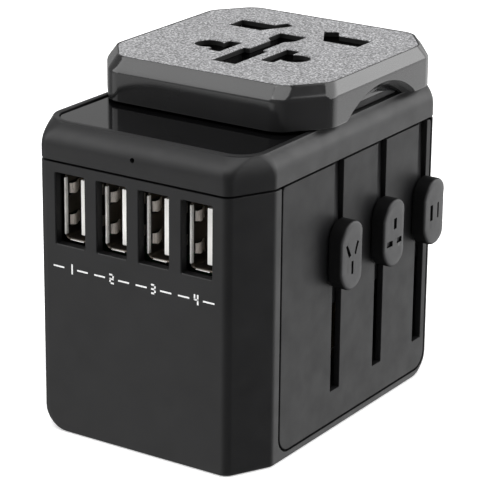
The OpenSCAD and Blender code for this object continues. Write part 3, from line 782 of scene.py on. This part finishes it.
def notch_cut(side):
    """Cutter of a finger notch: arcs of a half width and a rise that narrow inward."""
    centre = (HEAD_FRONT + HEAD_REAR) / 2
    below = 0.6                      # how far under the head each arc starts
    steps = 24
    rings = []
    for depth, half, rise in ((-1.0, 14.0, 5.1), (0.0, 13.7, 4.8), (0.1, 13.55, 4.65), (0.8, 12.9, 3.95),
                              (0.9, 12.75, 3.8), (1.6, 12.5, 3.3), (2.4, 12.2, 2.6), (3.2, 11.9, 1.9)):
        x = side * (HEAD_HALF - depth)
        height = rise + below
        radius = (half ** 2 + height ** 2) / (2 * height)
        sweep = math.asin(half / radius)
        ring = []
        for k in range(steps + 1):
            a = sweep * (2 * k / steps - 1)
            ring.append((x, centre + radius * math.sin(a), HEAD_Z0 + rise - radius * (1 - math.cos(a))))
        foot = HEAD_Z0 - below - 2
        rings.append([*ring, (x, centre + half, foot), (x, centre - half, foot)])
    return loft(rings)


def head_shell():
    """Cover of the head: walls with a softened top, a sloping edge and two finger notches."""
    rings = [head_ring(HEAD_Z0, 0, 0.35), head_ring(HEAD_Z0 + 0.1, 0, 0.1), head_ring(HEAD_Z0 + 0.35)]
    soft = 0.9
    for share in (0.0, 0.25, 0.5, 0.75, 1.0):
        rings.append(head_ring(HEAD_Z1 - soft * (1 - share), 0.16 * share ** 2))
    rings += [
        head_ring(HEAD_Z1 + 0.5, 0.35), head_ring(HEAD_Z2 - 0.5, 0.84), head_ring(HEAD_Z2 - 0.16, 0.98),
        head_ring(HEAD_Z2 - 0.04, 1.0, 0.04), head_ring(HEAD_Z2, 1.0, 0.14),
    ]
    seat = loft([head_ring(z, 1.0, 0.3) for z in (HEAD_Z2 - FACE_T, HEAD_Z2 + 1)])
    cavity = loft([head_ring(z, 1.0, 3.4) for z in (HEAD_Z0 - 1, HEAD_Z2 - FACE_T - 3.2)])
    cuts = [seat, cavity, *socket_cuts(HEAD_Z0 + 0.5, HEAD_Z2, 0.35), notch_cut(1), notch_cut(-1)]
    return piece("head_cover", loft(rings), "head", HEAD_GLOSS, "head_shell", cuts)


def socket_face():
    """Speckled plate in the head's seat, with the socket's openings."""
    z = HEAD_Z2 - 0.02
    rings = [head_ring(z - dz, 1.0, FACE_GAP + draw)
             for dz, draw in ((FACE_T - 0.06, 0.0), (0.12, 0.0), (0.03, 0.04), (0.0, 0.13))]
    return piece("head_face", loft(rings), "head", SPECKLE, "socket_face",
                 socket_cuts(HEAD_Z0, z, 0.0, 0.16), 30)


# ---- printed marks ------------------------------------------------------------


def printed_marks():
    """A numeral under each port between two thin rules, printed in white."""
    z, height = 33.8, 2.0
    rects = []
    for i in PORTS:
        x = middle(f"usb_shell_{i}")[0]
        rects += numeral(i, x, z, height)
        rects += [(x + side * 2.75, z, 2.5, 0.32) for side in (-1, 1)]
    y = -HALF_D - 0.004
    bars = []
    for x, zc, w, h in rects:
        edge = outline(turned(w, h, x, zc), 0, 0.04, 2)
        bars.append(loft([facing_front(edge, depth) for depth in (y, y + 0.02)]))
    return piece("port_numbers", join(*bars), "base", INK)


def numeral(number, x, z, height):
    """Bars (x, z, width, height) of a plain seven-bar numeral."""
    w, t, h = height * 0.52, 0.34, height / 2
    left, right = x - w / 2 + t / 2, x + w / 2 - t / 2
    bars = {
        "top": (x, z + h - t / 2, w, t), "mid": (x, z, w, t), "low": (x, z - h + t / 2, w, t),
        "upper left": (left, z + h / 2, t, h), "upper right": (right, z + h / 2, t, h),
        "lower left": (left, z - h / 2, t, h), "lower right": (right, z - h / 2, t, h),
    }
    chosen = {
        1: ("upper right", "lower right"), 2: ("top", "upper right", "mid", "lower left", "low"),
        3: ("top", "upper right", "mid", "lower right", "low"),
        4: ("upper left", "upper right", "mid", "lower right"),
    }
    return [bars[k] for k in chosen[number]]


# ---- carried-over CAD nodes -----------------------------------------------

CARRIED = {
    "pin_plate": INNER_BLACK, "inner_frame": INNER_BLACK, "usb_contacts": GOLD, "usb_board": BOARD,
    "transformer": TAPE, "capacitor_large": SLEEVE, "capacitor_small": SLEEVE, "choke": INNER_BLACK,
    "control_chip": INNER_BLACK, "indicator_led": LENS, "live_sleeve": BRASS, "neutral_sleeve": BRASS,
    "live_busbar": BRASS, "neutral_busbar": BRASS, "fuse": CERAMIC, "fuse_clips": BRASS,
    "casing_screws": SCREW_STEEL, "aus_carriage": BLACK_PANEL, "uk_carriage": BLACK_PANEL,
    "us_carriage": BLACK_PANEL, "aus_blade_live": BRASS, "aus_blade_neutral": BRASS,
    "uk_pin_live": BRASS, "uk_pin_neutral": BRASS, "uk_earth_pin": INNER_BLACK,
    "us_blade_live": BRASS, "us_blade_neutral": BRASS, "head_base": INNER_BLACK,
    "eu_pin_live": PIN_NICKEL, "eu_pin_neutral": PIN_NICKEL, "head_contact_live": BRASS,
    "head_contact_neutral": BRASS, "head_screws": SCREW_STEEL,
}


def carry_over(name, material):
    """Gives a CAD node its material and softened edges."""
    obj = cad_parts[name]
    obj.data.materials.clear()
    obj.data.materials.append(material)
    weld = obj.modifiers.new("weld", "WELD")
    weld.merge_threshold = 1e-6
    soft = obj.modifiers.new("soft_edges", "BEVEL")
    soft.width = 0.08 * MM
    soft.segments = 2
    soft.limit_method = "ANGLE"
    soft.angle_limit = math.radians(40)
    soft.harden_normals = True


# ---- camera, light and floor ------------------------------------------------


def camera():
    """The camera that sees the adapter from the front right and a little above."""
    back = toward(33.33398, 19.29048)
    position = Vector((244.50, -371.79, 187.82)) * MM
    data = bpy.data.cameras.new("camera")
    data.sensor_width = 36.0
    data.lens = 180.18
    data.clip_start = 0.01
    obj = bpy.data.objects.new("camera", data)
    bpy.context.scene.collection.objects.link(obj)
    right = Vector((-back.y, back.x, 0)).normalized()
    axes = Matrix((right, back.cross(right), back)).transposed()
    roll = Matrix.Rotation(math.radians(0.529), 4, "Z")
    obj.matrix_world = Matrix.Translation(position) @ axes.to_4x4() @ roll
    bpy.context.scene.camera = obj


def area_light(name, azimuth, elevation, distance, size, power):
    """A soft box seen from the object at an azimuth and an elevation."""
    back = toward(azimuth, elevation)
    data = bpy.data.lights.new(name, "AREA")
    data.shape = "RECTANGLE"
    data.size, data.size_y = size
    data.energy = power
    obj = bpy.data.objects.new(name, data)
    bpy.context.scene.collection.objects.link(obj)
    obj.location = Vector((0, 0, 0.04)) + back * distance
    obj.rotation_mode = "QUATERNION"
    obj.rotation_quaternion = back.to_track_quat("Z", "Y")


def toward(azimuth, elevation):
    """Unit vector at an azimuth (0 is the front, 90 the right) and an elevation."""
    a, e = math.radians(azimuth), math.radians(elevation)
    return Vector((math.sin(a) * math.cos(e), -math.cos(a) * math.cos(e), math.sin(e)))


def room_light():
    """Low light from all round, a dark wall at the right and pale patches in three places."""
    world = bpy.data.worlds.new("studio")
    world.use_nodes = True
    tree = world.node_tree
    coords = tree.nodes.new("ShaderNodeTexCoord")
    # each lobe: its middle, the cosines where it starts and is full, the strengths there
    lobes = ((toward(80, 15), 0.3, 0.95, 0.30, 0.05), (toward(150, -6), 0.72, 0.93, 0.0, 1.45),
             (toward(-38, -22), 0.72, 0.93, 0.0, 0.85), (toward(-147, 19), 0.78, 0.95, 0.0, 0.2))
    total = None
    for direction, start, end, low, high in lobes:
        dot = tree.nodes.new("ShaderNodeVectorMath")
        dot.operation = "DOT_PRODUCT"
        dot.inputs[1].default_value = direction
        fall = tree.nodes.new("ShaderNodeMapRange")
        fall.interpolation_type = "SMOOTHSTEP"
        for label, value in zip(("From Min", "From Max", "To Min", "To Max"), (start, end, low, high)):
            fall.inputs[label].default_value = value
        tree.links.new(coords.outputs["Generated"], dot.inputs[0])
        tree.links.new(dot.outputs["Value"], fall.inputs["Value"])
        if total is None:
            total = fall.outputs["Result"]
            continue
        both = tree.nodes.new("ShaderNodeMath")
        tree.links.new(total, both.inputs[0])
        tree.links.new(fall.outputs["Result"], both.inputs[1])
        total = both.outputs[0]
    tree.links.new(total, tree.nodes["Background"].inputs["Strength"])
    tree.nodes["Background"].inputs["Color"].default_value = (1, 1, 1, 1)
    bpy.context.scene.world = world


def studio():
    """Pale floor, room light and three soft boxes."""
    reach = 3.0
    mesh = bpy.data.meshes.new("floor")
    mesh.from_pydata([(x, y, 0) for x, y in rectangle(-reach, reach, -reach, reach)], [], [(0, 1, 2, 3)])
    floor = bpy.data.objects.new("floor", mesh)
    bpy.context.scene.collection.objects.link(floor)
    s = Shader("pale_floor")
    s.link(s.ramp(s.noise(8, 2), [(0.3, 0.90), (0.7, 0.92)]), s.bsdf.inputs["Base Color"])
    s.bsdf.inputs["Roughness"].default_value = 0.7
    s.bsdf.inputs["Emission Color"].default_value = (1, 1, 1, 1)
    s.bsdf.inputs["Emission Strength"].default_value = 0.4
    mesh.materials.append(s.material)
    floor.visible_glossy = False
    room_light()
    area_light("overhead", 10, 80, 0.9, (0.8, 0.8), 6)
    area_light("rear_right", 123, 30, 0.8, (0.9, 0.8), 6.6)
    area_light("front_left", -57, 38, 0.9, (0.6, 0.8), 4.3)
    view = bpy.context.scene.view_settings
    view.view_transform = "Standard"
    view.look = "None"


# ---- assembly ---------------------------------------------------------------

camera()
studio()
lower_casing()
upper_casing()
top_plate()
side_panel()
for port in PORTS:
    usb_port(port)
for knob_name in KNOBS:
    knob(knob_name, knob_name.replace("knob", "slider"))
head_shell()
socket_face()
printed_marks()
for cad_name, cad_material in CARRIED.items():
    carry_over(cad_name, cad_material)
